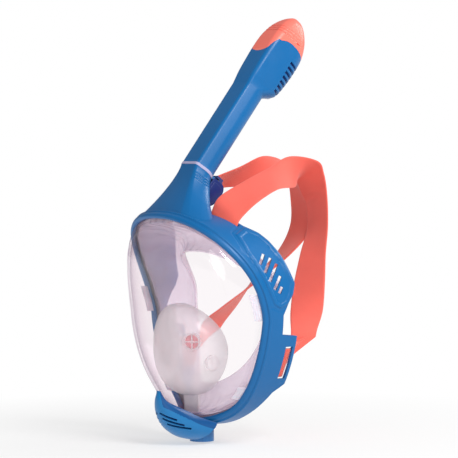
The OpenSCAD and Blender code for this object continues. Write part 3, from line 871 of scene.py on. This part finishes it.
# ---------- harness ----------
# Along the webbing: upper edge, lower edge, and 1 where the right strap lies on the left one
LOOP = [((29.8, -55.6, 99.5), (59.6, -46.6, 85.6), 0), ((30, -54, 106.5), (59.8, -45, 91.8), 0),
        ((32.5, -46, 120), (57.5, -37, 100), 0), ((30, -12.3, 135.5), (56, -17, 114), 0),
        ((25, 18.7, 147), (49, 13, 126), 0), ((23, 47, 158.5), (25, 52, 127.5), 0),
        ((30, 78, 154), (3, 71, 134), 1), ((31, 86, 141), (-3, 83, 121), 1),
        ((30.5, 90.5, 118), (-4.5, 90.5, 108), 1), ((31, 91, 88), (-3.5, 91, 84), 1),
        ((40, 80, 60), (7, 73, 60), 0), ((59, 64, 32), (31, 46, 30), 0), ((71, 52, 6), (57, 22, 4), 0),
        ((77.5, 40, -12), (75, 9, -14), 0), ((80, 36, -19), (79, 6, -37), 0)]
TAIL = [((77.6, 37, -16), (76.8, 5, -38), 0), ((81, 14, -21), (74, 0, -49), 0),
        ((88.2, -0.5, -27.4), (74.3, -2.8, -55.4), 0), ((91.3, -4.4, -27.6), (77.3, -4.8, -56.5), 0),
        ((92.2, -7.6, -27.6), (78.2, -7.6, -56.7), 0), ((91.6, -10.6, -27.6), (77.6, -10.6, -56.7), 0),
        ((88, -11.6, -27.6), (74, -11.6, -56.7), 0)]
STRAP_T = 1.8


def strap_edge(rows, e, side):
    """One edge of the webbing, with the two straps set apart where they cross behind the head."""
    return [(side * r[e][0] - (4 * r[2] if side < 0 else 0), r[e][1] - side * 1.3 * r[2], r[e][2])
            for r in rows]


def webbing(name, rows, side):
    """A strap with a thin selvedge; its UV layer holds half its width and run in millimetres."""
    up, low = (spline_path(strap_edge(rows, e, side), 14) for e in (0, 1))
    across = low - up
    width = np.linalg.norm(across, axis=1)
    run = np.concatenate([[0], np.cumsum(np.linalg.norm(np.diff((up + low) / 2, axis=0), axis=1))])
    normal = np.cross(np.gradient(up + low, axis=0), across)
    normal /= np.linalg.norm(normal, axis=1)[:, None]
    w = np.concatenate([[0, 0.012, 0.03], np.linspace(0.07, 0.93, 21), [0.97, 0.988, 1]])
    thick = STRAP_T / 2 * np.clip(np.minimum(w, 1 - w) / 0.03, 0, 1) ** 0.5
    thick *= 1 - 0.1 * np.exp(-((np.minimum(w, 1 - w) - 0.09) / 0.02) ** 2)
    rings = []
    for p, d, n in zip(up, across, normal):
        line = p + w[:, None] * d
        lift = n * thick[:, None]
        rings.append(np.concatenate([line + lift, (line - lift)[::-1][1:-1]]))
    piece = skin(name, rings, WEBBING, angle=60)
    m = len(rings[0])
    across_at = np.concatenate([w, w[::-1][1:-1]])
    layer = piece.data.uv_layers.new(name="strap")
    for loop in piece.data.loops:
        i, j = divmod(loop.vertex_index, m)
        layer.data[loop.index].uv = (across_at[j] * width.mean() / 2, run[i] / 2)
    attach(piece, "mask")
    return piece


for side, word in ((1, "left"), (-1, "right")):
    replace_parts(webbing(f"webbing_{word}", LOOP, side), f"strap_{word}")
    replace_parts(webbing(f"webbing_tail_{word}", TAIL, side), f"strap_{word}")

# ---------- carried-over CAD nodes ----------
FINISHES = {"retainer_ring": NAVY, "inhale_seat_left": CUP, "inhale_seat_right": CUP,
            "inhale_flap_left": FLAP, "inhale_flap_right": FLAP, "exhale_seat_left": CUP,
            "exhale_seat_right": CUP, "exhale_flap_left": CUP, "exhale_flap_right": CUP,
            "purge_seat": NAVY, "purge_flap": FLAP,
            "drain_cap": BLUE, "latch_bracket": NAVY, "latch_lever": NAVY, "latch_pin": STEEL,
            "latch_spring": STEEL, "neck_gasket": GASKET, "tube_divider": BLUE, "float_guide": WHITE,
            "float_body": WHITE, "float_seal": GASKET, "float_seat": WHITE, "strap_patch": WEBBING}
for node, finish in FINISHES.items():
    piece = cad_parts[node]
    piece.data.materials.clear()
    piece.data.materials.append(finish)

# ---------- camera, light and floor ----------
AZIMUTH, ELEVATION, LENS_MM, SENSOR = math.radians(54), math.radians(2), 200.0, 36.0
VIEW_WIDTH = 0.458
TARGET = (0.0, -0.0117, 0.086)


def camera():
    data = bpy.data.cameras.new("camera")
    data.lens, data.sensor_width = LENS_MM, SENSOR
    cam = bpy.data.objects.new("camera", data)
    bpy.context.scene.collection.objects.link(cam)
    flat = math.cos(ELEVATION)
    back = Vector((math.sin(AZIMUTH) * flat, -math.cos(AZIMUTH) * flat, math.sin(ELEVATION)))
    distance = VIEW_WIDTH * LENS_MM / SENSOR
    cam.location = Vector(TARGET) + back * distance
    cam.rotation_euler = back.to_track_quat("Z", "Y").to_euler()
    bpy.context.scene.camera = cam


def lamp(name, place, size, power):
    data = bpy.data.lights.new(name, "AREA")
    data.shape, data.size, data.energy = "DISK", size, power
    obj = bpy.data.objects.new(name, data)
    bpy.context.scene.collection.objects.link(obj)
    obj.location = place
    direction = Vector(place) - Vector((0, 0, 0.08))
    obj.rotation_euler = direction.to_track_quat("Z", "Y").to_euler()


def studio():
    """Three soft lamps and a white surround that looks brighter than it lights."""
    lamp("key", (1.5, 0.1, 1.3), 0.9, 30)
    lamp("fill", (1.2, -1.6, 0.4), 1.2, 7)
    lamp("rim", (0.2, 1.8, 1.0), 0.9, 12)
    world = bpy.data.worlds.new("studio")
    bpy.context.scene.world = world
    world.use_nodes = True
    nt = world.node_tree
    sky = nt.nodes["Background"]
    sky.inputs["Color"].default_value = (1, 1, 1, 1)
    seen = nt.nodes.new("ShaderNodeLightPath")
    level = nt.nodes.new("ShaderNodeMapRange")
    level.inputs["To Min"].default_value, level.inputs["To Max"].default_value = 0.32, 1.0
    link(nt, seen.outputs["Is Camera Ray"], level.inputs["Value"])
    link(nt, level.outputs[0], sky.inputs["Strength"])


def floor_material():
    """Pale and matt under the object, fading to plain white further out."""
    mat, nt, s = new_material("floor")
    s.inputs["Base Color"].default_value = (0.92, 0.92, 0.92, 1)
    s.inputs["Roughness"].default_value = 0.9
    glow = nt.nodes.new("ShaderNodeEmission")
    glow.inputs["Color"].default_value = (1, 1, 1, 1)
    place = nt.nodes.new("ShaderNodeTexCoord")
    far = nt.nodes.new("ShaderNodeVectorMath")
    far.operation = "LENGTH"
    link(nt, place.outputs["Object"], far.inputs[0])
    fade = nt.nodes.new("ShaderNodeMapRange")
    fade.inputs["From Min"].default_value, fade.inputs["From Max"].default_value = 0.05, 0.5
    fade.inputs["To Min"].default_value = 0.55
    link(nt, far.outputs["Value"], fade.inputs["Value"])
    mix = nt.nodes.new("ShaderNodeMixShader")
    link(nt, fade.outputs[0], mix.inputs[0])
    link(nt, s.outputs[0], mix.inputs[1])
    link(nt, glow.outputs[0], mix.inputs[2])
    link(nt, mix.outputs[0], nt.nodes["Material Output"].inputs["Surface"])
    return mat


FLOOR_R, FLOOR_SIDES = 6000, 96


def lay_floor():
    t = np.linspace(0, 2 * math.pi, FLOOR_SIDES, endpoint=False)
    ring = np.stack([FLOOR_R * np.cos(t), FLOOR_R * np.sin(t), 0 * t], 1)
    floor = make("floor", ring, [tuple(range(FLOOR_SIDES))], floor_material())
    floor.location.z = cad_box[0][2] - 0.002


camera()
studio()
lay_floor()
bpy.context.scene.view_settings.view_transform = "Standard"
